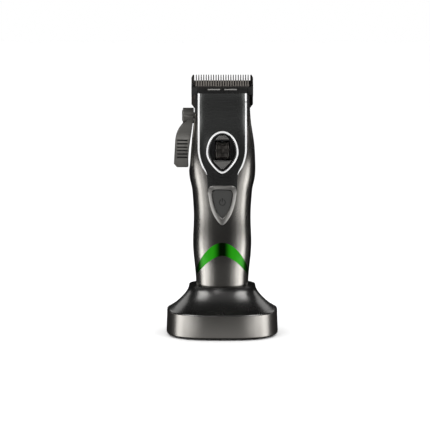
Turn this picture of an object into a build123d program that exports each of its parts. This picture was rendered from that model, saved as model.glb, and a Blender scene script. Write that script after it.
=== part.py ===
"""A cordless hair clipper standing in its charging dock, in millimetres.

The origin is on the table under the dock's centre. +Z is up, the clipper's face looks along -Y,
and the taper lever is on its -X side. Every separate piece is one STEP file in parts/.
"""

import math
import os

from build123d import *

# ---- driving dimensions ------------------------------------------------------------------

OUTLINE_POINTS = 28  # points on each squared-off oval
GAP = 0.12  # shut line between two fitted covers
RUN = 0.05  # running clearance of a shaft in its hole

# The handle's sections: height, half width, front Y, back Y, squareness of the oval.
HANDLE = [
    (18.0, 18.9, -15.8, 15.8, 2.3),
    (30.0, 19.3, -16.2, 16.2, 2.3),
    (42.7, 19.8, -16.7, 16.7, 2.3),
    (56.0, 21.05, -17.8, 17.6, 2.35),
    (67.0, 21.85, -18.5, 18.2, 2.4),
    (86.0, 21.3, -18.2, 18.2, 2.4),
    (100.0, 21.75, -18.5, 18.6, 2.5),
    (111.0, 22.8, -19.2, 19.3, 2.6),
    (123.5, 24.75, -20.0, 20.4, 2.9),
    (133.0, 24.5, -20.0, 20.4, 3.5),
    (145.0, 23.6, -18.6, 19.2, 4.1),
    (155.0, 22.0, -16.3, 17.2, 4.4),
    (166.0, 20.8, -13.0, 14.6, 4.6),
    (174.0, 20.3, -10.8, 13.0, 4.6),
    (181.2, 20.2, -8.6, 12.0, 4.6),
]
WALL = 2.4  # wall of the two handle shells
SKIN = 1.25  # depth of the covers set into the front shell

HANDLE_BOTTOM = 18.0
CAP_TOP = 22.0
SHELL_TOP = 166.0  # where the gunmetal shells end and the black head starts
PLATE_TOP = 181.0

# The shut line between the front and back shells, seen from the side: (Z, Y).
SEAM = [(10, -2.5), (45, -6), (60, -9), (86, -10.3), (110, -10.6)]
SEAM += [(128, -12.5), (145, -12.7), (156, -10.4), (168, -7.0)]

# Front plate, trims and what is set into the face.
PLATE_HALF = 16.7
TRIM_WIDTH = 1.4
TRIM_PROUD = 0.55
TRIM_JOINT_Z = 174.6
NECK_HALF = 11.2
RING_Z, RING_HALF_X, RING_HALF_Z = 138.4, 12.0, 15.6
RING_BAND = 1.65
RING_PROUD = 0.9
SERRATIONS = 58
SERRATION_DEPTH = 0.75
RIM = 0.35  # thinnest part of the serrated rim, behind its grooves
DISH_LOW_Y, DISH_HIGH_Y, DISH_BACK = -18.8, -14.9, -12.6  # the dish's floor below and above the wheel
RECESS_Y = -16.7  # floor of the deeper pocket around the thumb wheel
WHEEL_Y, WHEEL_Z, WHEEL_R, WHEEL_HALF = -14.9, 139.4, 6.9, 5.0
WHEEL_AXLE_R = 1.2
WHEEL_GROOVES = 10
BUTTON_TOP, BUTTON_TIP, BUTTON_HALF = 110.4, 89.4, 7.25
BEZEL_TOP, BEZEL_TIP, BEZEL_HALF = 113.8, 84.2, 10.5
BUTTON_TRAVEL = 0.8
ICON_Z, ICON_R = 101.2, 2.2
BAND_OUTER = [(0, 70.8), (9.0, 66.9), (14.8, 59.9), (18.6, 52.0)]
BAND_INNER = [(0, 61.3), (7.0, 58.8), (12.2, 54.6), (16.8, 49.0)]
BAND_TIP = (20.4, 43.6)

# Cutting head.
BLADE_HALF = 23.0
BLADE_TIP_Z, BLADE_FOOT_Z = 193.7, 168.4
BLADE_Y = (9.2, 11.6)
BLADE_SCREW_X, BLADE_SCREW_Z = 9.5, 172.6
GUARD_SLOPE = ((-6.6, 181.4), (4.6, 185.2))  # the guard's sloped top, from front to back: (Y, Z)
CUTTER_HALF = 20.3
CUTTER_TIP_Z, CUTTER_FOOT_Z = 189.8, 176.0
CUTTER_Y = (7.15, 9.15)
TOOTH_ROOT_Z = 185.2
COMB_BACK_Z = 189.3  # the comb is closed behind its slots up to here
TOOTH_PITCH = 1.84
TEETH = 22
STROKE = 1.3
TAPER_TRAVEL = 2.05
LEVER_Y, LEVER_Z, LEVER_HUB_R = 3.0, 163.7, 5.8
LEVER_SWING = 40.0  # degrees from open to closed
CRANK_R = 3.0
CRANK_PIN_R = 1.0

# Drive and power.
MOTOR_Y, MOTOR_R = 3.4, 10.4
MOTOR_Z = (124.0, 156.0)
ECCENTRICITY = 1.3
DRIVE_PIN_R = 1.5
CELL_Y, CELL_R = 3.5, 9.1
CELL_Z = (44.0, 109.0)
BOARD_Y = (-12.6, -11.4)
CONTACT_X = 5.5

# Dock: the oval sections are (Z, half width, half depth, squareness).
BAND_SECTIONS = [(0.8, 42.0, 34.0, 2.7), (18.0, 41.4, 33.5, 2.7)]
BAND_EDGE = 1.6  # rounding of the band's lower edge
BELL_SECTIONS = [
    (18.0, 40.4, 32.5, 2.7),
    (18.8, 39.9, 32.0, 2.7),
    (20.2, 37.9, 30.4, 2.65),
    (22.4, 35.0, 28.0, 2.6),
    (25.2, 32.0, 25.4, 2.5),
    (28.6, 28.9, 22.8, 2.4),
    (32.4, 26.2, 20.4, 2.35),
    (35.2, 25.1, 19.2, 2.3),
    (37.0, 24.8, 18.7, 2.3),
]
DOCK_WALL = 2.4
DOCK_TOP = 37.0
WELL_FLOOR = 17.9
WELL_FIT = 0.45
FOOT_R = 5.0
FOOT_SPOTS = [(sx * 27.5, sy * 18.8) for sx in (-1, 1) for sy in (-1, 1)]
DOCK_SCREW_SPOTS = [(sx * 19.0, sy * 25.0) for sx in (-1, 1) for sy in (-1, 1)]
USB_Z, USB_HALF_X, USB_HALF_Z = 8.4, 4.5, 1.6

os.makedirs("parts", exist_ok=True)


# ---- small helpers -----------------------------------------------------------------------


def save(name, *solids):
    """Writes one node: a single solid, or a group of separate ones."""
    found = [s for shape in solids for s in shape.solids()]
    export_step(found[0] if len(found) == 1 else Compound(children=found), f"parts/{name}.step")


def block(x, y, z):
    """A box from three (low, high) pairs."""
    return Pos(x[0], y[0], z[0]) * Solid.make_box(x[1] - x[0], y[1] - y[0], z[1] - z[0])


def post(x, y, z0, z1, radius):
    """An upright cylinder."""
    return Pos(x, y, z0) * Solid.make_cylinder(radius, z1 - z0)


def peg_x(x0, x1, y, z, radius):
    """A cylinder along X."""
    return Pos(x0, y, z) * Rot(0, 90, 0) * Solid.make_cylinder(radius, x1 - x0)


def peg_y(x, y0, y1, z, radius):
    """A cylinder along Y."""
    return Pos(x, y0, z) * Rot(-90, 0, 0) * Solid.make_cylinder(radius, y1 - y0)


def oval(half_x, front, back, power, z, grow=0.0):
    """A squared-off oval lying at height z, as a closed wire."""
    middle, half_y = (front + back) / 2, (back - front) / 2 + grow
    points = []
    for i in range(OUTLINE_POINTS):
        turn = math.pi / 2 + 2 * math.pi * i / OUTLINE_POINTS
        c, s = math.cos(turn), math.sin(turn)
        reach = (abs(c) ** power + abs(s) ** power) ** (-1 / power)
        points.append(((half_x + grow) * c * reach, middle + half_y * s * reach, z))
    return Wire(Spline(*points, periodic=True))


def loft_of(sections, grow=0.0):
    """A smooth solid through oval sections given as (Z, half X, half Y, squareness)."""
    return Solid.make_loft([oval(a, -b, b, n, z, grow) for z, a, b, n in sections])


def handle(grow=0.0):
    """The handle's full outer form, made larger or smaller all round."""
    return Solid.make_loft([oval(a, front, back, n, z, grow) for z, a, front, back, n in HANDLE])


def face_prism(outline, y0, y1):
    """An outline standing in the XZ plane at Y = 0, pushed through from y0 to y1."""
    return Pos(0, y0, 0) * Solid.extrude(outline, Vector(0, y1 - y0, 0))


def mirrored_outline(half):
    """A closed face from edges on the +X side, repeated on the -X side."""
    edges = list(half) + [e.mirror(Plane.YZ) for e in half]
    return make_face(Wire.combine(edges)[0] if len(edges) > 1 else edges).face()


def egg(grow=0.0, points=36):
    """The ring's outline: an oval whose lower half narrows towards its tip."""
    a, b = RING_HALF_X + grow, RING_HALF_Z + grow
    spots = []
    for i in range(points):
        turn = math.pi / 2 + 2 * math.pi * i / points
        c, s = math.cos(turn), math.sin(turn)
        narrow = 1 - 0.42 * max(0.0, -s) ** 1.55
        spots.append((a * c * narrow, 0, RING_Z + b * s))
    return make_face(Wire(Spline(*spots, periodic=True))).face()


def shield(half, top, tip):
    """A guitar-pick outline: flat top, rounded shoulders, sides that curve to a rounded tip."""
    shape = [(0.4, 1.0), (0.7, 0.995), (0.93, 0.945), (1.0, 0.84), (0.96, 0.71), (0.895, 0.58), (0.81, 0.455)]
    shape += [(0.70, 0.335), (0.56, 0.225), (0.38, 0.125), (0.19, 0.04)]
    side = [(x * half, 0, tip + z * (top - tip)) for x, z in shape]
    other = [(-x, y, z) for x, y, z in reversed(side)]
    return make_face(Wire(Spline((0, 0, top), *side, (0, 0, tip), *other, periodic=True))).face()


# ---- the handle's covers -----------------------------------------------------------------

BODY = handle()
INNER = handle(-WALL)
UNDER_COVER = handle(-SKIN)
ROOM = 60.0  # reach of a cutting block well outside the handle


def seam_region(side):
    """Everything in front of (side -1) or behind (side +1) the shells' shut line."""
    line = Spline(*[(0, y, z) for z, y in SEAM])
    (z0, y0), (z1, y1) = SEAM[0], SEAM[-1]
    far = side * ROOM
    around = Polyline((0, y1, z1), (0, y1, 200), (0, far, 200), (0, far, 0), (0, y0, 0), (0, y0, z0))
    flat = make_face(Wire.combine([line, *around.edges()])[0]).face()
    return Pos(-ROOM, side * GAP / 2, 0) * Solid.extrude(flat, Vector(2 * ROOM, 0, 0))


def plate_outline(grow=0.0):
    """The face plate with its neck, wider by grow on both sides of the straight part."""
    half = PLATE_HALF + grow
    bend = Spline(
        (half, 0, 141),
        (half - 1.1 - 0.15 * grow, 0, 133.0 - 0.2 * grow),
        (half - 3.4 - 0.4 * grow, 0, 127.0 - 0.5 * grow),
        (NECK_HALF + 0.05, 0, 121.5 - 0.7 * grow),
        tangents=[(0, 0, -1), (-0.12, 0, -1)],
    )
    half_edges = [
        Line((0, 0, PLATE_TOP), (half, 0, PLATE_TOP)),
        Line((half, 0, PLATE_TOP), (half, 0, 141)),
        bend,
        Line((NECK_HALF + 0.05, 0, 121.5 - 0.7 * grow), (10.5, 0, 104)),
        Line((10.5, 0, 104), (0, 0, 104)),
    ]
    return mirrored_outline(half_edges)


def light_band_outline(grow=0.0):
    """The crescent of the light band: two arches that meet at the sides of the handle."""
    x_tip, z_tip = BAND_TIP[0] + grow, BAND_TIP[1]
    arches = []
    for spots, rise in ((BAND_OUTER, grow), (BAND_INNER, -grow)):
        right = [(x, 0, z + rise) for x, z in spots] + [(x_tip, 0, z_tip + rise)]
        left = [(-x, 0, z) for x, _, z in reversed(right[1:])]
        arches.append(Spline(*left, *right))
    if grow:
        arches += [Line((s * x_tip, 0, z_tip + grow), (s * x_tip, 0, z_tip - grow)) for s in (-1, 1)]
    return make_face(Wire.combine(arches)[0]).face()


FRONT = seam_region(-1)
BACK = seam_region(1)
BEZEL_CUT = face_prism(shield(BEZEL_HALF + GAP, BEZEL_TOP + GAP, BEZEL_TIP - GAP), -ROOM, 0)


def lever_scoop(clear=0.0):
    """A shallow round scoop in the handle's left side that keeps the swinging lever clear."""
    profile = [(0, -20.75), (8, -20.75), (20, -22.3), (37, -23.95), (45, -25.6)]
    points = [(x - clear, LEVER_Y, LEVER_Z + r) for r, x in profile]
    rim = Polyline(*points, (-ROOM, LEVER_Y, LEVER_Z + 45), (-ROOM, LEVER_Y, LEVER_Z), points[0])
    axis = Axis((0, LEVER_Y, LEVER_Z), (1, 0, 0))
    return Solid.revolve(make_face(rim).face(), 360, axis)


def screw_post(x, z, y0, y1, radius=2.7):
    """A pillar for a housing screw, from y0 to y1."""
    return peg_y(x, y0, y1, z, radius)


# The screws that hold the two shells together: X, Z and the Y their heads bear on.
HOUSING_SCREWS = [(-11.0, 34.0, 10.6), (11.0, 34.0, 10.6), (-15.5, 118.0, 12.0), (15.5, 118.0, 12.0)]
SCOOP = lever_scoop()
SHELL_SPAN = block((-ROOM, ROOM), (-ROOM, ROOM), (CAP_TOP, SHELL_TOP))
LEVER_HOLE = peg_x(-40, -10, LEVER_Y, LEVER_Z, 4.2)


def front_shell():
    shell = (BODY - INNER) & SHELL_SPAN & FRONT
    pillars = Part() + [screw_post(x, z, -20, 8.8) for x, z, _ in HOUSING_SCREWS]
    shell = shell + (pillars & (BODY - (BODY - handle(-1.0))))
    plate_seat = face_prism(plate_outline(TRIM_WIDTH + GAP), -ROOM, 0) & (handle(1.0) - UNDER_COVER)
    band_seat = face_prism(light_band_outline(0.22), -ROOM, 0) & (handle(1.0) - UNDER_COVER)
    shell = shell - plate_seat - band_seat - SCOOP
    shell = shell - face_prism(egg(0.15), -ROOM, -5)
    shell = shell - BEZEL_CUT
    holes = [peg_y(x, 2.0, 9.0, z, 1.0) for x, z, _ in HOUSING_SCREWS]
    return shell - holes


def back_shell():
    shell = (BODY - INNER) & SHELL_SPAN & BACK
    pillars = Part() + [screw_post(x, z, 8.9, 19.0) for x, z, _ in HOUSING_SCREWS]
    shell = shell + (pillars & handle(-1.0))
    shell = shell - SCOOP - LEVER_HOLE
    for x, z, seat in HOUSING_SCREWS:
        shell = shell - peg_y(x, 8.0, 30.0, z, 1.35) - peg_y(x, seat, 30.0, z, 2.6)
    return shell


def housing_screws():
    made = []
    for x, z, seat in HOUSING_SCREWS:
        head = peg_y(x, seat, seat + 2, z, 2.4)
        head = head - block((x - 0.4, x + 0.4), (seat + 1, 15), (z - 1.7, z + 1.7))
        head = head - block((x - 1.7, x + 1.7), (seat + 1, 15), (z - 0.4, z + 0.4))
        made.append(head + peg_y(x, 2.6, seat, z, 0.95))
    return made


def bottom_cap():
    cap = BODY & block((-ROOM, ROOM), (-ROOM, ROOM), (10, CAP_TOP - GAP))
    cap = cap.fillet(1.6, cap.faces().sort_by(Axis.Z)[0].edges())
    collar = handle(-WALL - 0.15) & block((-ROOM, ROOM), (-ROOM, ROOM), (CAP_TOP - 1, CAP_TOP + 2.5))
    hollow = handle(-WALL - 1.6) & block((-ROOM, ROOM), (-ROOM, ROOM), (20.2, CAP_TOP + 5))
    cap = cap + collar - hollow
    return cap - [post(sx * CONTACT_X, 0, 10, 30, 2.2) for sx in (-1, 1)]


def charge_contacts():
    made = []
    for sx in (-1, 1):
        stud = post(sx * CONTACT_X, 0, HANDLE_BOTTOM, 22.0, 2.15)
        flange = post(sx * CONTACT_X, 0, 21.5, 22.3, 3.0)
        made.append(stud + flange + post(sx * CONTACT_X, 0, 22.0, 25.0, 0.6))
    return made


def cover_skin(outline, proud, depth=SKIN - 0.05):
    """A cover set into the front shell: the outline cut from the handle's skin."""
    return face_prism(outline, -ROOM, 0) & (handle(proud) - handle(-depth))


def face_plate():
    plate = cover_skin(plate_outline(), 0.25) - BEZEL_CUT
    return plate - face_prism(egg(GAP), -ROOM, 0)


def side_trims():
    outer = face_prism(plate_outline(TRIM_WIDTH), -ROOM, 0)
    inner = face_prism(plate_outline(GAP / 2), -ROOM, 0)
    strips = (outer - inner) & (handle(TRIM_PROUD) - handle(-SKIN + 0.05))
    strips = strips - BEZEL_CUT - block((-ROOM, ROOM), (-ROOM, ROOM), (0, 121.9))
    joint = block((0, ROOM), (-ROOM, ROOM), (TRIM_JOINT_Z, TRIM_JOINT_Z + 0.5))
    return strips - joint


def window_ring():
    ring = face_prism(egg(), -ROOM, 0) - face_prism(egg(-RING_BAND), -ROOM, 0)
    ring = ring & (handle(RING_PROUD) - handle(-SKIN + 0.05))
    return ring


def serrated_outline():
    """The ring's inside line, toothed all the way round."""
    a, b = RING_HALF_X - RING_BAND - RIM, RING_HALF_Z - RING_BAND - RIM
    spots = []
    for i in range(2 * SERRATIONS):
        turn = math.pi / 2 + math.pi * i / SERRATIONS
        c, s = math.cos(turn), math.sin(turn)
        narrow = 1 - 0.42 * max(0.0, -s) ** 1.55
        depth = SERRATION_DEPTH if i % 2 else 0.0
        spots.append(((a - depth) * c * narrow, 0, RING_Z + (b - depth) * s))
    return make_face(Polyline(*spots, close=True)).face()


def dish():
    """The black dish inside the ring: serrated wall, floor, and the slot for the thumb wheel."""
    block_under = face_prism(egg(), -ROOM, DISH_BACK) & handle(-SKIN)
    rim = face_prism(egg(-RING_BAND - 0.05), -ROOM, DISH_BACK) & handle(0.1)
    low, high = WHEEL_Z - 7.4, WHEEL_Z + 7.5
    profile = Polyline(
        (0, DISH_LOW_Y, 100),
        (0, DISH_LOW_Y, low),
        (0, RECESS_Y, low),
        (0, RECESS_Y, high),
        (0, RECESS_Y - 0.4, high),
        (0, DISH_HIGH_Y, 155),
        (0, 0, 155),
        (0, 0, 100),
        close=True,
    )
    floor = Pos(-ROOM, 0, 0) * Solid.extrude(make_face(profile).face(), Vector(2 * ROOM, 0, 0))
    mouth = face_prism(serrated_outline(), -ROOM, -1) - floor
    slot = block((-WHEEL_HALF - 0.4, WHEEL_HALF + 0.4), (-ROOM, 0), (WHEEL_Z - 7.1, WHEEL_Z + 7.1))
    return block_under + rim - mouth - slot - peg_x(-20, 20, WHEEL_Y, WHEEL_Z, WHEEL_AXLE_R + RUN)


def speed_wheel():
    """A thumb wheel with rounded shoulders and a few narrow grip grooves."""
    wheel = peg_x(-WHEEL_HALF, WHEEL_HALF, WHEEL_Y, WHEEL_Z, WHEEL_R)
    wheel = wheel.fillet(1.3, wheel.edges().filter_by(GeomType.CIRCLE))
    wheel = wheel - peg_x(-9, 9, WHEEL_Y, WHEEL_Z, WHEEL_AXLE_R)
    flutes = []
    for i in range(WHEEL_GROOVES):
        turn = math.radians(90 + 360 / WHEEL_GROOVES * i)
        y, z = WHEEL_Y - (WHEEL_R + 0.15) * math.sin(turn), WHEEL_Z + (WHEEL_R + 0.15) * math.cos(turn)
        flutes.append(peg_x(-9, 9, y, z, 0.45))
    return wheel - flutes


def button_bezel():
    ring = cover_skin(shield(BEZEL_HALF, BEZEL_TOP, BEZEL_TIP), 0.45, 2.3)
    return ring - face_prism(shield(BUTTON_HALF + 0.25, BUTTON_TOP + 0.25, BUTTON_TIP - 0.25), -ROOM, 1)


def power_button():
    cap = face_prism(shield(BUTTON_HALF, BUTTON_TOP, BUTTON_TIP), -ROOM, -14.6) & handle(0.15)
    flange = face_prism(shield(BUTTON_HALF + 0.85, BUTTON_TOP + 0.85, BUTTON_TIP - 1.0), -15.0, -14.2)
    ring = peg_y(0, -30, 0, ICON_Z, ICON_R + 0.25) - peg_y(0, -30, 0, ICON_Z, ICON_R - 0.25)
    gap = block((-0.9, 0.9), (-30, 0), (ICON_Z + 0.8, ICON_Z + 4))
    bar = block((-0.25, 0.25), (-30, 0), (ICON_Z + 0.3, ICON_Z + 3.0))
    icon = (ring - gap + bar) - handle(-0.15)
    return cap + flange - icon


def light_band():
    return (cover_skin(light_band_outline(), 0.1)) & FRONT


# ---- cutting head ------------------------------------------------------------------------


def head_frame():
    """The black chassis that carries the plate's top, the blades, the motor and the lever shaft."""
    low = handle(-WALL - 0.2) & block((-ROOM, ROOM), (-ROOM, 9.1), (156.2, SHELL_TOP + 0.05))
    high = BODY & block((-ROOM, ROOM), (-ROOM, 9.1), (SHELL_TOP + 0.05, 179.0))
    seat = face_prism(plate_outline(TRIM_WIDTH + GAP), -ROOM, 3) & (handle(1.0) - UNDER_COVER)
    frame = low + high - seat
    frame = frame - block((-16.4, 16.4), (-3.6, 20), (158.6, 190))
    frame = frame - post(0, MOTOR_Y, 150, 160, 6.4)
    frame = frame - block((-14, 14), (-ROOM, -3.0), (176.5, 190))
    frame = frame - block((-21.9, 21.9), (CUTTER_Y[0] - 0.15, 20), (CUTTER_FOOT_Z - 0.4, 190))
    frame = frame - peg_x(-30, -10, LEVER_Y, LEVER_Z, 3.0 + RUN)
    frame = frame - lever_scoop(-0.5)
    return frame - [post(sx * 8.2, MOTOR_Y, 150, 160, 1.1) for sx in (-1, 1)]


def blade_guard():
    """The black cover over the drive, sloping from the plate up to the cutter's teeth."""
    side = Polyline(
        (0, -7.1, 179.1),
        (0, -7.1, 181.1),
        (0, *GUARD_SLOPE[0]),
        (0, *GUARD_SLOPE[1]),
        (0, 6.9, 185.2),
        (0, 6.9, 179.1),
        close=True,
    )
    front = Polyline(
        (-BLADE_HALF, 0, 179.1),
        (-BLADE_HALF, 0, 187.3),
        (-21.7, 0, 187.3),
        (-21.7, 0, 190),
        (21.7, 0, 190),
        (21.7, 0, 187.3),
        (BLADE_HALF, 0, 187.3),
        (BLADE_HALF, 0, 179.1),
        close=True,
    )
    slope = Pos(-BLADE_HALF, 0, 0) * Solid.extrude(make_face(side).face(), Vector(2 * BLADE_HALF, 0, 0))
    guard = slope & face_prism(make_face(front).face(), -ROOM, ROOM)
    ear_x = (21.7 + BLADE_HALF) / 2
    ears = [Pos(s * ear_x, 0, 0) * block((-0.65, 0.65), (4.6, 9.1), (177.6, 187.3)) for s in (-1, 1)]
    corners = [Pos(s * 24.4, 0, 0) * block((-6, 6), (-30, 2.5), (170, 190)) for s in (-1, 1)]
    guard = guard - corners + ears
    guard = guard - block((-12.5, 12.5), (-5.6, 20), (170, 180.6))
    guard = guard - block((-12.5, 12.5), (-2.2, 20), (170, 182.0))
    seat = face_prism(plate_outline(TRIM_WIDTH + GAP), -ROOM, 3) & (handle(1.0) - UNDER_COVER)
    slots = [block((s * 6.2 - 4.75, s * 6.2 + 4.75), (-1.9, 0.9), (181, 190)) for s in (-1, 1)]
    return guard - seat - slots


def tension_spring():
    """The flat blade spring under the guard: its two arms fill the guard's slots."""
    (y0, z0), (y1, z1) = GUARD_SLOPE
    slope = (z1 - z0) / (y1 - y0)
    low, high = -1.7, 0.7
    top = [(0, y, z0 + slope * (y - y0) - 0.25) for y in (low, high)]
    side = make_face(Polyline((0, low, 181.6), *top, (0, high, 181.6), close=True)).face()
    arms = [Pos(s * 6.2 - 4.6, 0, 0) * Solid.extrude(side, Vector(9.2, 0, 0)) for s in (-1, 1)]
    return block((-11.8, 11.8), (low, high), (181.2, 181.9)) + arms


def tooth_row(half, root, tip, width, y):
    """Pointed teeth standing on z = root, spread evenly about the centre line."""
    made = []
    for i in range(TEETH):
        x = (i - (TEETH - 1) / 2) * TOOTH_PITCH
        flank = Polyline(
            (x - width / 2, 0, root - 0.5),
            (x - 0.34 * width, 0, tip - 0.35),
            (x - 0.16 * width, 0, tip),
            (x + 0.16 * width, 0, tip),
            (x + 0.34 * width, 0, tip - 0.35),
            (x + width / 2, 0, root - 0.5),
            close=True,
        )
        made.append(face_prism(make_face(flank).face(), y[0], y[1]))
    return made


def ground_back(y_back, root, tip, thin):
    """The wedge ground off the back of a tooth row, so the tips are thin."""
    top = tip + 0.2
    spots = [(0, y_back, root - 3), (0, y_back - thin, top), (0, 40, top), (0, 40, root - 3)]
    wedge = Polyline(*spots, close=True)
    return Pos(-ROOM, 0, 0) * Solid.extrude(make_face(wedge).face(), Vector(2 * ROOM, 0, 0))


def stationary_blade():
    """The fixed comb: a steel plate with a long tooth row between two pointed ears."""
    y0, y1 = BLADE_Y
    outline = Polyline(
        (-20.9, 0, TOOTH_ROOT_Z),
        (-20.9, 0, BLADE_TIP_Z - 0.5),
        (-21.4, 0, BLADE_TIP_Z),
        (-22.0, 0, BLADE_TIP_Z - 0.2),
        (-BLADE_HALF, 0, BLADE_TIP_Z - 2.3),
        (-BLADE_HALF, 0, 171.6),
        (-20.6, 0, BLADE_FOOT_Z),
        (20.6, 0, BLADE_FOOT_Z),
        (BLADE_HALF, 0, 171.6),
        (BLADE_HALF, 0, BLADE_TIP_Z - 2.3),
        (22.0, 0, BLADE_TIP_Z - 0.2),
        (21.4, 0, BLADE_TIP_Z),
        (20.9, 0, BLADE_TIP_Z - 0.5),
        (20.9, 0, TOOTH_ROOT_Z),
        close=True,
    )
    plate = face_prism(make_face(outline).face(), y0, y1)
    plate = plate + tooth_row(BLADE_HALF, TOOTH_ROOT_Z, BLADE_TIP_Z, 1.0, (y0, y1))
    plate = plate + block((-20.95, 20.95), (y0 + 1.0, y1), (TOOTH_ROOT_Z - 0.5, COMB_BACK_Z))
    plate = plate - ground_back(y1, TOOTH_ROOT_Z, BLADE_TIP_Z, 1.7)
    for sx in (-1, 1):
        x = sx * BLADE_SCREW_X
        plate = plate - peg_y(x, 8, 14, BLADE_SCREW_Z, 1.75) - peg_y(x, 10.4, 14, BLADE_SCREW_Z, 3.1)
    return plate


def cutter_blade():
    """The moving blade: shorter teeth, in front of the comb."""
    y0, y1 = CUTTER_Y
    plate = block((-CUTTER_HALF, CUTTER_HALF), (y0, y1), (CUTTER_FOOT_Z, TOOTH_ROOT_Z))
    plate = plate + tooth_row(CUTTER_HALF, TOOTH_ROOT_Z, CUTTER_TIP_Z, 1.15, (y0, y1))
    top = CUTTER_TIP_Z + 0.1
    spots = [(0, y0, TOOTH_ROOT_Z), (0, y0 + 1.2, top), (0, -5, top), (0, -5, TOOTH_ROOT_Z)]
    slope = Polyline(*spots, close=True)
    plate = plate - Pos(-ROOM, 0, 0) * Solid.extrude(make_face(slope).face(), Vector(2 * ROOM, 0, 0))
    window = block((-5, 5), (0, 20), (CUTTER_FOOT_Z + 2.2, CUTTER_FOOT_Z + 4.2))
    return plate - window


def cam_follower():
    """The nylon follower clipped to the cutter, with the fork that the drive pin works in."""
    body = block((-7.5, 7.5), (-1.6, CUTTER_Y[0] - 0.02), (176.6, 180.9))
    seat = CUTTER_Y[0] - 0.02
    clip = block((-4.9, 4.9), (seat, CUTTER_Y[1] - 0.05), (CUTTER_FOOT_Z + 2.25, CUTTER_FOOT_Z + 4.15))
    fork = block((-4.6, 4.6), (-1.6, 6.7), (165.3, 176.8))
    slot = block((-DRIVE_PIN_R - 0.08, DRIVE_PIN_R + 0.08), (-5, 10), (160, 170.5))
    return body + clip + fork - slot


def blade_carriage():
    """The slide behind the comb that the lever moves up and down."""
    plate = block((-16.1, 16.1), (7.0, BLADE_Y[0]), (161.0, 175.4))
    tab = block((-15.4, -12.4), (-2.0, 7.0), (161.8, 168.0))
    pin_z = LEVER_Z + TAPER_TRAVEL / 2
    slot = block((-20, -10), (-1.6, 2.4), (pin_z - CRANK_PIN_R - 0.15, pin_z + CRANK_PIN_R + 0.15))
    plate = plate + tab - slot
    return plate - [peg_y(sx * BLADE_SCREW_X, 0, 20, BLADE_SCREW_Z, 1.2) for sx in (-1, 1)]


def blade_screws():
    made = []
    for sx in (-1, 1):
        x = sx * BLADE_SCREW_X
        head = peg_y(x, 10.45, 12.0, BLADE_SCREW_Z, 2.9)
        head = head - block((x - 2.2, x + 2.2), (11.4, 13), (BLADE_SCREW_Z - 0.35, BLADE_SCREW_Z + 0.35))
        made.append(head + peg_y(x, 7.4, 10.5, BLADE_SCREW_Z, 1.15))
    return made


# ---- lever -------------------------------------------------------------------------------


def taper_lever():
    """Hub, arm and thumb pad of the taper lever, with six grip grooves across the pad."""
    hub = peg_x(-29.4, -21.2, LEVER_Y, LEVER_Z, LEVER_HUB_R)
    hub = hub.fillet(0.7, hub.edges().filter_by(GeomType.CIRCLE).sort_by(Axis.X)[:1])
    outline = [
        Line((-21.5, 0, 163.4), (-29.0, 0, 158.2)),
        Spline((-29.0, 0, 158.2), (-32.9, 0, 153.4), (-34.9, 0, 146.0)),
        Line((-34.9, 0, 146.0), (-35.9, 0, 129.0)),
        Line((-35.9, 0, 129.0), (-33.6, 0, 126.4)),
        Line((-33.6, 0, 126.4), (-25.7, 0, 126.4)),
        Line((-25.7, 0, 126.4), (-25.1, 0, 127.2)),
        Spline((-25.1, 0, 127.2), (-24.1, 0, 143.7), (-22.5, 0, 154.0), (-21.5, 0, 163.4)),
    ]
    pad = face_prism(make_face(Wire.combine(outline)[0]).face(), -20, 20)
    side = [
        Line((0, LEVER_Y + 5.0, LEVER_Z), (0, LEVER_Y + 4.2, 158)),
        Spline((0, LEVER_Y + 4.2, 158), (0, -1.0, 150), (0, -3.4, 140), (0, -3.8, 126)),
        Line((0, -3.8, 126), (0, -10.4, 126)),
        Spline((0, -10.4, 126), (0, -10.4, 142), (0, -8.6, 154), (0, LEVER_Y - 5.4, LEVER_Z + 0.5)),
        Line((0, LEVER_Y - 5.4, LEVER_Z + 0.5), (0, LEVER_Y + 5.0, LEVER_Z)),
    ]
    bend = Pos(-ROOM, 0, 0) * Solid.extrude(make_face(Wire.combine(side)[0]).face(), Vector(2 * ROOM, 0, 0))
    arm = pad & bend
    lever = hub + arm - peg_x(-40, -10, LEVER_Y, LEVER_Z, 2.45)
    lever = lever - peg_x(-32, -28.6, LEVER_Y, LEVER_Z, 4.2)
    for i in range(6):
        z = 146.4 - 2.55 * i
        groove = block((-33.5, -25.6), (-12, -9.6), (z - 0.55, z + 0.55))
        lever = lever - groove
    return lever


def lever_shaft():
    """The lever's shaft with the crank disc and pin that move the blade carriage."""
    shaft = peg_x(-29.0, -15.9, LEVER_Y, LEVER_Z, 2.4) + peg_x(-20.4, -15.9, LEVER_Y, LEVER_Z, 3.0)
    disc = peg_x(-16.3, -15.6, LEVER_Y, LEVER_Z, 3.85)
    rise = math.asin(TAPER_TRAVEL / 2 / CRANK_R)
    pin_y, pin_z = LEVER_Y - CRANK_R * math.cos(rise), LEVER_Z + CRANK_R * math.sin(rise)
    pin = peg_x(-15.8, -12.6, pin_y, pin_z, CRANK_PIN_R)
    return shaft + disc + pin


def lever_screw():
    head = peg_x(-29.9, -29.0, LEVER_Y, LEVER_Z, 4.0)
    slot = block((-31, -29.4), (LEVER_Y - 3, LEVER_Y + 3), (LEVER_Z - 0.45, LEVER_Z + 0.45))
    return head - slot


# ---- drive and power ---------------------------------------------------------------------


def motor_can():
    z0, z1 = MOTOR_Z
    can = post(0, MOTOR_Y, z0, z1, MOTOR_R) - post(0, MOTOR_Y, z0 - 1, z1 - 1.2, MOTOR_R - 0.9)
    can = can + post(0, MOTOR_Y, z1, z1 + 2.2, 3.2) - post(0, MOTOR_Y, z1 - 3, z1 + 4, 1.0 + RUN)
    return can - [post(sx * 8.2, MOTOR_Y, z1 - 3, z1 + 2, 0.8) for sx in (-1, 1)]


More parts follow.
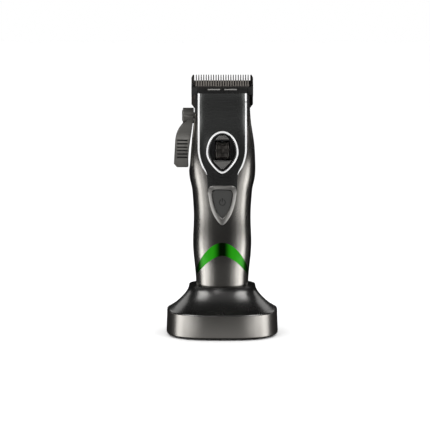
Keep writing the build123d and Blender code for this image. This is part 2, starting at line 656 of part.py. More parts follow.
def motor_cap():
    z0 = MOTOR_Z[0]
    cap = post(0, MOTOR_Y, z0, z0 + 2.4, MOTOR_R - 0.95) + post(0, MOTOR_Y, z0 - 1.8, z0, 3.4)
    cap = cap - post(0, MOTOR_Y, z0 - 3, z0 + 4, 1.0 + RUN)
    for x in (-6.5, 6.5):
        cap = cap + block((x - 1.1, x + 1.1), (MOTOR_Y - 0.3, MOTOR_Y + 0.3), (z0 - 4.0, z0 + 0.2))
    return cap


def motor_magnets():
    z0, z1 = MOTOR_Z
    ring = post(0, MOTOR_Y, z0 + 6, z1 - 5, MOTOR_R - 0.95) - post(0, MOTOR_Y, z0, z1, MOTOR_R - 2.9)
    return ring - block((-2.2, 2.2), (-20, 20), (z0, z1))


def motor_screws():
    return [post(x, MOTOR_Y, 155.4, 158.7, 0.78) + post(x, MOTOR_Y, 158.65, 159.7, 1.7) for x in (-8.2, 8.2)]


def rotor_core():
    z0, z1 = MOTOR_Z
    core = post(0, MOTOR_Y, z0 + 8, z1 - 7, MOTOR_R - 3.3)
    for i in range(3):
        turn = math.radians(90 + 120 * i)
        slot = Pos(0, MOTOR_Y, 0) * Rot(0, 0, math.degrees(turn)) * block((4.4, 12), (-0.8, 0.8), (z0, z1))
        pocket = Pos(0, MOTOR_Y, 0) * Rot(0, 0, math.degrees(turn)) * block((2.6, 5.4), (-2.0, 2.0), (z0, z1))
        core = core - slot - pocket
    commutator = post(0, MOTOR_Y, z0 + 3.0, z0 + 7.4, 2.4)
    return [core - post(0, MOTOR_Y, z0, z1, 1.0), commutator - post(0, MOTOR_Y, z0, z1, 1.0)]


def rotor_shaft():
    return post(0, MOTOR_Y, MOTOR_Z[0] - 1.4, 162.0, 1.0)


def eccentric():
    """The cam on the motor shaft, with the drive pin off its centre."""
    hub = post(0, MOTOR_Y, 158.6, 162.0, 3.35) - post(0, MOTOR_Y, 150, 170, 1.0)
    hub = hub - block((-6, 6), (MOTOR_Y - 6, MOTOR_Y - 2.4), (158, 163))
    return hub + post(0, MOTOR_Y + ECCENTRICITY, 162.0, 165.0, DRIVE_PIN_R)


def battery_cell():
    cell = post(0, CELL_Y, CELL_Z[0], CELL_Z[1], CELL_R)
    cell = cell.fillet(0.7, cell.edges().filter_by(GeomType.CIRCLE))
    return cell + post(0, CELL_Y, CELL_Z[1] - 0.1, CELL_Z[1] + 1.2, 2.8)


def battery_holder():
    """The open cradle that holds the cell against the back shell."""
    z0, z1 = CELL_Z
    outer = block((-10.6, 10.6), (CELL_Y - 6.5, 13.4), (z0 - 2.0, z1 + 3.0))
    hollow = post(0, CELL_Y, z0 - 0.3, z1 + 1.5, CELL_R + 0.2)
    mouth = block((-CELL_R - 0.2, CELL_R + 0.2), (-30, CELL_Y), (z0 - 0.3, z1 + 1.5))
    holder = (outer & handle(-WALL - 0.4)) - hollow - mouth
    return holder


def circuit_board():
    return block((-11.5, 11.5), BOARD_Y, (52, 121)) & handle(-WALL - 0.4)


def board_parts():
    """What is soldered to the board: the charging chip, the motor switch, two capacitors, the socket."""
    back = BOARD_Y[1]
    chip = block((-3.5, 3.5), (back, back + 1.4), (66, 73))
    driver = block((4.5, 9.0), (back, back + 1.6), (76, 82))
    caps = [peg_y(-7.5, back, back + 5.2, z, 2.4) for z in (86, 93)]
    socket = block((-4.5, 4.5), (back, back + 3.4), (56, 60.5))
    socket = socket - block((-3.8, 3.8), (back + 0.6, back + 2.8), (58, 62))
    return [chip, driver, *caps, socket]


def power_switch():
    """The tact switch under the power button."""
    front = BOARD_Y[0]
    case = block((-3, 3), (front - 0.5, front), (ICON_Z - 3, ICON_Z + 3))
    return case + peg_y(0, front - 0.75, front - 0.4, ICON_Z, 1.5)


def band_leds():
    """Three small lamps on the board that light the band from behind."""
    front = BOARD_Y[0]
    spots = ((-7.5, 58.0), (0, 64.0), (7.5, 58.0))
    return [block((x - 1.0, x + 1.0), (front - 1.1, front), (z - 0.8, z + 0.8)) for x, z in spots]


def wheel_sensor():
    """The rotary sensor on the end of the thumb wheel's axle."""
    return block((8.1, 11.0), (-12.3, -8.4), (WHEEL_Z - 4, WHEEL_Z + 4))


# ---- dock --------------------------------------------------------------------------------


def dock_base():
    """The gunmetal band of the dock, open above and below."""
    outer = loft_of(BAND_SECTIONS)
    outer = outer.fillet(BAND_EDGE, outer.faces().sort_by(Axis.Z)[0].edges())
    inner = loft_of([(0, 39.2, 31.3, 2.7), (20, 39.2, 31.3, 2.7)])
    band = outer - inner
    lip = outer & block((-ROOM, ROOM), (-ROOM, ROOM), (3.0, 4.6))
    band = band + (lip - loft_of([(0, 36.6, 28.7, 2.7), (20, 36.6, 28.7, 2.7)]))
    tall = USB_HALF_Z + 0.4
    port = block((-USB_HALF_X - 0.5, USB_HALF_X + 0.5), (25, 40), (USB_Z - tall, USB_Z + tall))
    band = band - port
    return band - [post(x, y, 0, 10, 1.4) for x, y in DOCK_SCREW_SPOTS]


def dock_cover():
    """The black bell that rises to the collar, with the well that holds the clipper."""
    outer = loft_of(BELL_SECTIONS)
    under_top = block((-ROOM, ROOM), (-ROOM, ROOM), (0, DOCK_TOP - 2.4))
    hollow = loft_of(BELL_SECTIONS[:-1], -DOCK_WALL) & under_top
    hollow = hollow + loft_of([(12, 36.5, 28.6, 2.7), (18.6, 36.5, 28.6, 2.7)])
    skirt = loft_of([(12.0, 38.9, 31.0, 2.7), (18.4, 38.9, 31.0, 2.7)])
    cover = outer + skirt - hollow
    cup_span = block((-ROOM, ROOM), (-ROOM, ROOM), (WELL_FLOOR - 2.0, DOCK_TOP - 1.0))
    foot = [(12.0, 18.7, -15.6, 15.6, 2.3), *HANDLE[:4]]
    low_form = Solid.make_loft([oval(a, f, b, n, z, WELL_FIT + 1.7) for z, a, f, b, n in foot])
    well_form = Solid.make_loft([oval(a, f, b, n, z, WELL_FIT) for z, a, f, b, n in foot])
    cover = cover + (low_form & cup_span)
    cover = cover - (well_form & block((-ROOM, ROOM), (-ROOM, ROOM), (WELL_FLOOR, 60)))
    cover = cover - [post(sx * CONTACT_X, 0, 10, 20, 1.5) for sx in (-1, 1)]
    pillars = Part() + [post(x, y, 6.4, 24, 3.0) for x, y in DOCK_SCREW_SPOTS]
    cover = cover + (pillars & (outer + block((-ROOM, ROOM), (-ROOM, ROOM), (0, 18))))
    cover = cover - [post(x, y, 0, 14, 1.05) for x, y in DOCK_SCREW_SPOTS]
    return cover


def bottom_plate():
    plate = loft_of([(1.2, 39.0, 31.1, 2.7), (2.9, 39.0, 31.1, 2.7)])
    plate = plate - [post(x, y, 0, 1.9, FOOT_R + 0.1) for x, y in FOOT_SPOTS]
    for x, y in DOCK_SCREW_SPOTS:
        plate = plate - post(x, y, 0, 5, 1.6) - post(x, y, 0, 2.1, 3.0)
    return plate


def dock_feet():
    made = []
    for x, y in FOOT_SPOTS:
        foot = post(x, y, 0, 1.9, FOOT_R)
        made.append(foot.chamfer(0.35, None, foot.edges().filter_by(GeomType.CIRCLE).sort_by(Axis.Z)[:1]))
    return made


def dock_screws():
    made = []
    for x, y in DOCK_SCREW_SPOTS:
        head = post(x, y, 1.3, 2.1, 2.7) - block((x - 1.6, x + 1.6), (y - 0.35, y + 0.35), (0, 1.7))
        head = head - block((x - 0.35, x + 0.35), (y - 1.6, y + 1.6), (0, 1.7))
        made.append(head + post(x, y, 2.1, 12.5, 1.0))
    return made


def ballast_plate():
    """The steel plate that keeps the dock from tipping."""
    plate = loft_of([(4.7, 33.5, 25.6, 2.7), (8.2, 33.5, 25.6, 2.7)])
    plate = plate - block((-9, 9), (17, 40), (0, 20)) - block((-9.5, 9.5), (-6, 6), (0, 20))
    return plate - [post(x, y, 0, 20, 3.4) for x, y in DOCK_SCREW_SPOTS]


def dock_board():
    board = block((-14, 14), (-8, 30.2), (9.6, 11.0))
    return board - [post(x, y, 0, 20, 3.4) for x, y in DOCK_SCREW_SPOTS]


def usb_socket():
    """The metal shell of the USB-C inlet, with its tongue."""
    y0, y1 = 24.0, 32.6
    outer = block((-USB_HALF_X, USB_HALF_X), (y0, y1), (USB_Z - USB_HALF_Z, USB_Z + USB_HALF_Z))
    outer = outer.fillet(1.4, outer.edges().filter_by(Axis.Y))
    half_x, half_z = USB_HALF_X - 0.35, USB_HALF_Z - 0.35
    room = block((-half_x, half_x), (y0 + 1.5, y1 + 1), (USB_Z - half_z, USB_Z + half_z))
    room = room.fillet(1.1, room.edges().filter_by(Axis.Y))
    tongue = block((-3.3, 3.3), (y0 + 1.0, y1 - 1.2), (USB_Z - 0.35, USB_Z + 0.35))
    return outer - room + tongue - block((-10, 10), (20, 40), (9.6, 12))


def pin_barrels():
    """The two brass barrels, standing on the dock's board, that guide the sprung charging pins."""
    made = []
    for sx in (-1, 1):
        barrel = post(sx * CONTACT_X, 0, 11.0, 17.0, 1.45) - post(sx * CONTACT_X, 0, 12.0, 18, 1.0 + RUN)
        made.append(barrel)
    return made


def charge_pin(sx):
    pin = post(sx * CONTACT_X, 0, 13.6, HANDLE_BOTTOM - 0.05, 1.0)
    return pin.fillet(0.5, pin.edges().filter_by(GeomType.CIRCLE).sort_by(Axis.Z)[-1:])


# ---- write every node --------------------------------------------------------------------

if __name__ == "__main__":
    save("front_shell", front_shell())
    save("back_shell", back_shell())
    save("housing_screws", *housing_screws())
    save("bottom_cap", bottom_cap())
    save("charge_contacts", *charge_contacts())
    save("face_plate", face_plate())
    save("side_trims", side_trims())
    save("window_ring", window_ring())
    save("window_dish", dish())
    save("speed_wheel", speed_wheel())
    save("wheel_axle", peg_x(-8.0, 9.6, WHEEL_Y, WHEEL_Z, WHEEL_AXLE_R))
    save("wheel_sensor", wheel_sensor())
    save("button_bezel", button_bezel())
    save("power_button", power_button())
    save("light_band", light_band())
    save("head_frame", head_frame())
    save("blade_guard", blade_guard())
    save("tension_spring", tension_spring())
    save("stationary_blade", stationary_blade())
    save("cutter_blade", cutter_blade())
    save("cam_follower", cam_follower())
    save("blade_carriage", blade_carriage())
    save("blade_screws", *blade_screws())
    save("taper_lever", taper_lever())
    save("lever_shaft", lever_shaft())
    save("lever_screw", lever_screw())
    save("motor_can", motor_can())
    save("motor_cap", motor_cap())
    save("motor_magnets", motor_magnets())
    save("motor_screws", *motor_screws())
    save("rotor_core", *rotor_core())
    save("rotor_shaft", rotor_shaft())
    save("eccentric", eccentric())
    save("battery_cell", battery_cell())
    save("battery_holder", battery_holder())
    save("circuit_board", circuit_board())
    save("board_parts", *board_parts())
    save("power_switch", power_switch())
    save("band_leds", *band_leds())
    save("dock_base", dock_base())
    save("dock_cover", dock_cover())
    save("bottom_plate", bottom_plate())
    save("dock_feet", *dock_feet())
    save("dock_screws", *dock_screws())
    save("ballast_plate", ballast_plate())
    save("dock_board", dock_board())
    save("usb_socket", usb_socket())
    save("pin_barrels", *pin_barrels())
    save("charge_pin_left", charge_pin(-1))
    save("charge_pin_right", charge_pin(1))
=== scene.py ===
"""A cordless hair clipper standing in its charging dock: finishes, small details, studio and camera."""

import math

import bpy
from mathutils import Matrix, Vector
from mathutils.bvhtree import BVHTree


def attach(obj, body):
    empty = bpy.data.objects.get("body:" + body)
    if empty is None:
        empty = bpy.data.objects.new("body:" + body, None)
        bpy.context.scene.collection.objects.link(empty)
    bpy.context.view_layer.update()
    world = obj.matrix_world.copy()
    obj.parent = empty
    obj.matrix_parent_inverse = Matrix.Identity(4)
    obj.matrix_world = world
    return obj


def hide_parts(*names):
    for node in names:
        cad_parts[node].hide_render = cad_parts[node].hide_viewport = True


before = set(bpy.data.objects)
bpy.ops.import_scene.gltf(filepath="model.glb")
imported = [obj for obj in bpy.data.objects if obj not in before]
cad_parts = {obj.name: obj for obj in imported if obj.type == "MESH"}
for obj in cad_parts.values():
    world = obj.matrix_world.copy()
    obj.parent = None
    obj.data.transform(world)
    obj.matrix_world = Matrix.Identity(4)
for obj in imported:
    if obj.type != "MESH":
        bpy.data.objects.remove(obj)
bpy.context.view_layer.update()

# ---- The dock's band ---------------------------------------------------------------------
# The lower ring of the dock: zinc cast in one piece, blasted, then sprayed with a warm grey
# metallic lacquer. It carries the bell above it and the bottom plate below.


def new_group(name, inputs, outputs):
    """An empty node group with the given sockets: (name, kind, default)."""
    group = bpy.data.node_groups.new(name, "ShaderNodeTree")
    for label, kind, value in inputs:
        socket = group.interface.new_socket(name=label, in_out="INPUT", socket_type="NodeSocket" + kind)
        socket.default_value = value
    for label, kind in outputs:
        group.interface.new_socket(name=label, in_out="OUTPUT", socket_type="NodeSocket" + kind)
    return group, group.nodes.new("NodeGroupInput"), group.nodes.new("NodeGroupOutput")


def add(tree, kind, **settings):
    """A new node; a key that names an input sets it, any other key sets a property."""
    node = tree.nodes.new("ShaderNode" + kind)
    for key, value in settings.items():
        label = key.replace("_", " ")
        if label in node.inputs:
            node.inputs[label].default_value = value
        else:
            setattr(node, key, value)
    return node


def math_node(tree, operation, first, second):
    """One sum; each side is a number or an output socket."""
    node = add(tree, "Math", operation=operation)
    for i, side in enumerate((first, second)):
        if isinstance(side, (int, float)):
            node.inputs[i].default_value = side
        else:
            tree.links.new(side, node.inputs[i])
    return node.outputs[0]


def noise_field(tree, scale, detail, stretch=(1, 1, 1)):
    """Noise over the piece in its own metres, stretched along any axis."""
    place = add(tree, "TexCoord")
    squeeze = add(tree, "Mapping", Scale=stretch)
    field = add(tree, "TexNoise", Detail=detail)
    tree.links.new(place.outputs["Object"], squeeze.inputs["Vector"])
    tree.links.new(squeeze.outputs["Vector"], field.inputs["Vector"])
    if isinstance(scale, (int, float)):
        field.inputs["Scale"].default_value = scale
    else:
        tree.links.new(scale, field.inputs["Scale"])
    return field.outputs["Fac"]


def blend_colour(tree, amount, first, second):
    mix = add(tree, "Mix", data_type="RGBA")
    tree.links.new(amount, mix.inputs["Factor"])
    for socket, side in ((mix.inputs["A"], first), (mix.inputs["B"], second)):
        if isinstance(side, tuple):
            socket.default_value = side
        else:
            tree.links.new(side, socket)
    return mix.outputs["Result"]


def stretch_range(tree, value, low, high, **settings):
    """A value rescaled so that low becomes 0 and high becomes 1."""
    scale = add(tree, "MapRange", From_Min=low, From_Max=high, **settings)
    tree.links.new(value, scale.inputs["Value"])
    return scale.outputs["Result"]


def scaled_colour(tree, colour, amount):
    """A colour multiplied by a value."""
    shade = add(tree, "VectorMath", operation="SCALE")
    tree.links.new(colour, shade.inputs[0])
    tree.links.new(amount, shade.inputs["Scale"])
    return shade.outputs["Vector"]


def edge_wear_and_sheen_group():
    """Mask of the outer edges, which hands and tables rub and which carry a painted highlight: 1 on an edge,
    0 on open surface.
    """
    group, given, result = new_group("edge_wear_and_sheen", [("Width", "Float", 0.0004)], [("Mask", "Float")])
    rounded = add(group, "Bevel", samples=4)
    group.links.new(given.outputs["Width"], rounded.inputs["Radius"])
    surface = add(group, "NewGeometry")
    meet = add(group, "VectorMath", operation="DOT_PRODUCT")
    group.links.new(rounded.outputs["Normal"], meet.inputs[0])
    group.links.new(surface.outputs["Normal"], meet.inputs[1])
    edge = stretch_range(group, meet.outputs["Value"], 0.975, 0.88)
    broken = stretch_range(group, noise_field(group, 260.0, 4.0), 0.42, 0.62)
    group.links.new(math_node(group, "MULTIPLY", edge, broken), result.inputs["Mask"])
    return group


FINISH_OUTPUTS = [("Colour", "Color"), ("Roughness", "Float"), ("Height", "Float")]


def sprayed_group(edge_wear_and_sheen):
    """Sprayed lacquer: fine metallic flake, a little orange peel, faint marks of handling, and edges in a
    second colour, partly wear and partly painted highlight.
    """
    inputs = [("Colour", "Color", (0.3, 0.3, 0.3, 1)), ("Worn Colour", "Color", (0.6, 0.6, 0.6, 1))]
    inputs += [("Roughness", "Float", 0.3), ("Flake", "Float", 0.1)]
    inputs += [("Marks", "Float", 0.05), ("Wear", "Float", 0.3)]
    group, given, result = new_group("sprayed", inputs, FINISH_OUTPUTS)
    flake = noise_field(group, 5200.0, 1.0)
    dark = math_node(group, "MULTIPLY", math_node(group, "SUBTRACT", flake, 0.5), given.outputs["Flake"])
    shade = scaled_colour(group, given.outputs["Colour"], math_node(group, "ADD", dark, 1.0))
    # The edge colour is partly wear and partly a painted highlight along the edges.
    wear_and_sheen = add(group, "Group", node_tree=edge_wear_and_sheen)
    worn_and_sheen = math_node(group, "MULTIPLY", wear_and_sheen.outputs["Mask"], given.outputs["Wear"])
    colour = blend_colour(group, worn_and_sheen, shade, given.outputs["Worn Colour"])
    smudge = math_node(group, "SUBTRACT", noise_field(group, 38.0, 5.0), 0.5)
    rough = math_node(group, "MULTIPLY", smudge, given.outputs["Marks"])
    rough = math_node(group, "ADD", rough, given.outputs["Roughness"])
    group.links.new(colour, result.inputs["Colour"])
    group.links.new(rough, result.inputs["Roughness"])
    group.links.new(noise_field(group, 900.0, 2.0), result.inputs["Height"])
    return group


def surface_material(name, group, colour, metal, rough, bump, coat=0.0, ior=1.5, **inputs):
    """A Principled surface fed by one of the finish groups, with that finish's own values."""
    material = bpy.data.materials.new(name)
    material.use_nodes = True
    tree = material.node_tree
    shader = tree.nodes["Principled BSDF"]
    shader.inputs["Metallic"].default_value = metal
    shader.inputs["IOR"].default_value = ior
    shader.inputs["Coat Weight"].default_value = coat
    shader.inputs["Coat Roughness"].default_value = 0.12
    finish = add(tree, "Group", node_tree=group)
    finish.inputs["Colour"].default_value = (*colour, 1)
    finish.inputs["Roughness"].default_value = rough
    for label, value in inputs.items():
        value = (*value, 1) if isinstance(value, tuple) else value
        finish.inputs[label.replace("_", " ")].default_value = value
    relief = add(tree, "Bump", Strength=bump, Distance=0.00005)
    tree.links.new(finish.outputs["Colour"], shader.inputs["Base Color"])
    tree.links.new(finish.outputs["Roughness"], shader.inputs["Roughness"])
    tree.links.new(finish.outputs["Height"], relief.inputs["Height"])
    tree.links.new(relief.outputs["Normal"], shader.inputs["Normal"])
    material.diffuse_color = (*colour, 1)
    return material


WELD_REACH = 0.000002


def dress(node, material, bevel=0.0):
    """Gives a CAD node its finish and, where wanted, a bevel: its shortest edges hold that to microns."""
    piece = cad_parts[node]
    piece.data.materials.clear()
    piece.data.materials.append(material)
    if bevel:
        piece.modifiers.new("weld", "WELD").merge_threshold = WELD_REACH
        soften = piece.modifiers.new("broken_edge", "BEVEL")
        soften.width = bevel
        soften.segments = 2
        soften.limit_method = "ANGLE"
        soften.angle_limit = math.radians(40)
        soften.harden_normals = True


sprayed = sprayed_group(edge_wear_and_sheen_group())

WARM_GREY, WORN_GREY = (0.64, 0.615, 0.575), (0.6, 0.58, 0.55)
band_lacquer = surface_material(
    "band_lacquer", sprayed, WARM_GREY, 1.0, 0.30, 0.02,
    Flake=0.10, Marks=0.04, Wear=0.15, Worn_Colour=WORN_GREY
)
dress("dock_base", band_lacquer)

# ---- The dock's bell ---------------------------------------------------------------------
# The cover that flares from the band up to the collar. Moulded in black ABS with the well
# for the handpiece, and sprayed with a dark pearl lacquer.

BELL_BLACK = (0.26, 0.256, 0.25)
# The bell's edges take a lighter colour: partly wear, partly a painted highlight.
bell_lacquer = surface_material(
    "bell_lacquer", sprayed, BELL_BLACK, 1.0, 0.27, 0.02,
    Flake=0.15, Marks=0.05, Wear=0.1, Worn_Colour=(0.3, 0.3, 0.3)
)
dress("dock_cover", bell_lacquer)

# ---- Under the dock ----------------------------------------------------------------------
# A flat black moulding closes the dock, held by four screws from below. It stands on four
# soft rubber feet pressed into round seats.


def moulded_group():
    """Moulded plastic or rubber: an even texture from the tool, with a little dust in it."""
    inputs = [("Colour", "Color", (0.03, 0.03, 0.03, 1)), ("Dust Colour", "Color", (0.35, 0.34, 0.32, 1))]
    inputs += [("Roughness", "Float", 0.5), ("Grain", "Float", 1400.0), ("Dust", "Float", 0.03)]
    group, given, result = new_group("moulded", inputs, FINISH_OUTPUTS)
    grain = noise_field(group, given.outputs["Grain"], 3.0)
    patchy = stretch_range(group, noise_field(group, 70.0, 6.0), 0.45, 0.8)
    amount = math_node(group, "MULTIPLY", patchy, given.outputs["Dust"])
    colour = blend_colour(group, amount, given.outputs["Colour"], given.outputs["Dust Colour"])
    rough = math_node(group, "MULTIPLY", math_node(group, "SUBTRACT", grain, 0.5), 0.12)
    rough = math_node(group, "ADD", rough, given.outputs["Roughness"])
    group.links.new(colour, result.inputs["Colour"])
    group.links.new(rough, result.inputs["Roughness"])
    group.links.new(grain, result.inputs["Height"])
    return group


moulded = moulded_group()
plate_moulding = surface_material("bottom_plate_moulding", moulded, (0.022, 0.022, 0.022), 0.0, 0.55, 0.35)
foot_rubber = surface_material(
    "foot_rubber", moulded, (0.03, 0.03, 0.03), 0.0, 0.75, 0.5, Grain=900.0, Dust=0.10
)
dress("bottom_plate", plate_moulding)
dress("dock_feet", foot_rubber)


def machined_group():
    """Bare ground or drawn metal: fine parallel lines along one direction and faint stains."""
    inputs = [("Colour", "Color", (0.6, 0.6, 0.6, 1)), ("Stain Colour", "Color", (0.3, 0.28, 0.25, 1))]
    inputs += [("Roughness", "Float", 0.3), ("Lines", "Float", 0.15), ("Stain", "Float", 0.2)]
    group, given, result = new_group("machined", inputs, FINISH_OUTPUTS)
    lines = noise_field(group, 1.0, 3.0, stretch=(60, 9000, 9000))
    centred = math_node(group, "SUBTRACT", lines, 0.5)
    uneven = math_node(group, "MULTIPLY", centred, given.outputs["Lines"])
    shade = scaled_colour(group, given.outputs["Colour"], math_node(group, "ADD", uneven, 1.0))
    spots = stretch_range(group, noise_field(group, 150.0, 5.0), 0.55, 0.8)
    stained = math_node(group, "MULTIPLY", spots, given.outputs["Stain"])
    colour = blend_colour(group, stained, shade, given.outputs["Stain Colour"])
    rough = math_node(group, "ADD", uneven, given.outputs["Roughness"])
    group.links.new(colour, result.inputs["Colour"])
    group.links.new(rough, result.inputs["Roughness"])
    group.links.new(lines, result.inputs["Height"])
    return group


machined = machined_group()
screw_steel = surface_material("screw_steel", machined, (0.55, 0.55, 0.55), 1.0, 0.32, 0.1, Stain=0.3)
dress("dock_screws", screw_steel)

# ---- Inside the dock ---------------------------------------------------------------------
# A zinc-plated steel plate weighs the dock down. Above it a small board carries the charging
# inlet at the back and the two sprung pins that meet the handpiece's contacts.

ballast_zinc = surface_material("ballast_zinc", machined, (0.42, 0.43, 0.46), 1.0, 0.42, 0.1, Stain=0.4)
board_mask = surface_material("board_mask", moulded, (0.02, 0.16, 0.06), 0.0, 0.35, 0.1, Grain=600.0)
inlet_steel = surface_material("inlet_steel", machined, (0.62, 0.62, 0.63), 1.0, 0.28, 0.1)
contact_gold = surface_material("contact_gold", machined, (0.80, 0.58, 0.26), 1.0, 0.25, 0.05, Stain=0.1)
dress("ballast_plate", ballast_zinc)
dress("dock_board", board_mask)
dress("usb_socket", inlet_steel)
for node in ("pin_barrels", "charge_pin_left", "charge_pin_right", "charge_contacts"):
    dress(node, contact_gold)

# ---- Front shell of the handpiece --------------------------------------------------------
# The visible half of the handle: ABS moulded with seats for the plate, the trims, the button
# and the light band, and sprayed in the same warm grey metallic as the dock's band.

gunmetal = surface_material(
    "gunmetal_lacquer", sprayed, WARM_GREY, 1.0, 0.27, 0.02,
    Flake=0.10, Marks=0.04, Wear=0.2, Worn_Colour=WORN_GREY
)
dress("front_shell", gunmetal)

# ---- Back shell and bottom cap -----------------------------------------------------------
# The half that lies in the palm, moulded in black with a fine satin texture, and the cap
# that closes the handle below. Both are bare plastic.

back_satin = surface_material(
    "back_shell_satin", moulded, (0.006, 0.006, 0.006), 0.0, 0.38, 0.25, Grain=1800.0
)
dress("back_shell", back_satin)
dress("bottom_cap", back_satin)
dress("housing_screws", screw_steel)

# ---- Face plate --------------------------------------------------------------------------
# A dark anodised aluminium plate, brushed straight across, that runs from the blade to the
# power button and is let into the front shell.

PLATE_DARK = (0.14, 0.143, 0.14)
plate_brushed = surface_material(
    "plate_brushed", machined, PLATE_DARK, 0.95, 0.30, 0.05,
    Lines=0.5, Stain=0.0, Stain_Colour=(0.05, 0.05, 0.05)
)
dress("face_plate", plate_brushed)

# ---- Side trims and the ring -------------------------------------------------------------
# Two chromed strips edge the plate. A chromed ring of rounded section, finely serrated along
# its inner edge, frames the dish. All are moulded, then plated bright.

MM = 0.001
chrome = surface_material("trim_chrome", machined, (0.86, 0.86, 0.86), 0.3, 0.16, 0.0, Lines=0.04, Stain=0.0)
dress("side_trims", chrome)


def front_of(node):
    """Returns a function that gives the Y of a node's front surface over any X and Z, or nearest it."""
    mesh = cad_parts[node].data
    tree = BVHTree.FromPolygons([v.co for v in mesh.vertices], [f.vertices for f in mesh.polygons])

    def depth(x, z):
        hit = tree.ray_cast(Vector((x, -0.2, z)), Vector((0, 1, 0)))[0]
        return (hit or tree.find_nearest(Vector((x, -0.02, z)))[0]).y

    return depth


def new_piece(name, points, faces, material, body, slot, *replaced):
    """A smooth mesh piece that moves with a body and may stand for CAD nodes."""
    mesh = bpy.data.meshes.new(name)
    mesh.from_pydata(points, [], faces)
    mesh.materials.append(material)
    mesh.shade_smooth()
    piece = bpy.data.objects.new(name, mesh)
    bpy.context.scene.collection.objects.link(piece)
    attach(piece, body)
    if replaced:
        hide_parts(*replaced)
    return piece


def smooth_loop(corners, count):
    """Points spread along a closed smooth curve through the corners, given in millimetres."""
    spots = []
    n = len(corners)
    for i in range(count):
        at = i * n / count
        k, t = int(at), at - int(at)
        p0, p1, p2, p3 = (Vector(corners[(k + j) % n]) for j in (-1, 0, 1, 2))
        spots.append(0.5 * (2 * p1 + (p2 - p0) * t + (2 * p0 - 5 * p1 + 4 * p2 - p3) * t**2
                            + (3 * p1 - p0 - 3 * p2 + p3) * t**3))
    return spots


ROUND = [((1 - math.cos(math.pi * k / 12)) / 2, math.sin(math.pi * k / 12)) for k in range(13)]
EDGE_INSET, BEAD_SUNK = 0.08, 0.45


def bead(name, outer, inner, depth, profile, rise, material, slot, *replaced):
    """A moulding between two loops on the handle's face, its section given as (across, up)."""
    steps, count = len(profile) - 1, len(outer)
    points, faces = [], []
    for i in range(count):
        y0 = depth(*outer[i].lerp(inner[i], EDGE_INSET) * MM)
        y1 = depth(*inner[i].lerp(outer[i], EDGE_INSET) * MM)
        for across, up in profile:
            spot = outer[i].lerp(inner[i], across) * MM
            points.append((spot.x, y0 + (y1 - y0) * across + (BEAD_SUNK - rise * up) * MM, spot.y))
    for i in range(count):
        for k in range(steps):
            a, b = i * (steps + 1) + k, (i + 1) % count * (steps + 1) + k
            faces.append((a, b, b + 1, a + 1))
    return new_piece(name, points, faces, material, "handpiece", slot, *replaced)


RING_MIDDLE, RING_WIDE, RING_TALL, RING_BAND = 138.4, 12.0, 15.6, 1.45
LOWER_TAPER, TAPER_POWER = 0.40, 1.7


def egg_width(share, grow):
    """Half width of the ring's outline at a share of its half height."""
    narrow = 1 - LOWER_TAPER * max(0.0, -share) ** TAPER_POWER
    return (RING_WIDE + grow) * math.sqrt(max(0.0, 1 - share * share)) * narrow


RING_TICKS, TICK_STEPS = 58, 4


def egg(grow):
    """The ring's outline, grown outwards by so many millimetres; each tick has a few points."""
    spots = []
    for i in range(RING_TICKS * TICK_STEPS):
        turn = 2 * math.pi * i / (RING_TICKS * TICK_STEPS)
        side = 1 if math.cos(turn) > 0 else -1
        height = RING_MIDDLE + (RING_TALL + grow) * math.sin(turn)
        spots.append(Vector((side * egg_width(math.sin(turn), grow), height)))
    return spots


RING_MARGIN, TICK_DEPTH, RING_RISE = 0.1, 0.6, 0.75
smooth_edge = egg(RING_MARGIN - RING_BAND)
tick_tips = egg(RING_MARGIN - RING_BAND - TICK_DEPTH)
serrated = [tip if i % TICK_STEPS == 1 else spot for i, (spot, tip) in enumerate(zip(smooth_edge, tick_tips))]
bead(
    "dish_ring", egg(-RING_MARGIN), serrated, front_of("window_ring"),
    ROUND, RING_RISE, chrome, "chrome_trim", "window_ring"
)

# ---- The dish and its wheel --------------------------------------------------------------
# Inside the ring lies a gloss black dish, its floor knurled above and below the wheel. The
# thumb wheel turns on a steel axle, stands out of its slot and sets the motor's speed.

black_gloss = surface_material(
    "black_gloss", moulded, (0.010, 0.010, 0.010), 0.0, 0.14, 0.03, Dust=0.01, Grain=500.0
)
# The wheel's edges take a lighter colour: partly wear, partly a painted highlight.
wheel_gloss = surface_material(
    "wheel_gloss", sprayed, (0.13, 0.12, 0.11), 0.95, 0.22, 0.02,
    Marks=0.1, Wear=0.2, Worn_Colour=(0.2, 0.2, 0.2)
)
dress("window_dish", black_gloss)
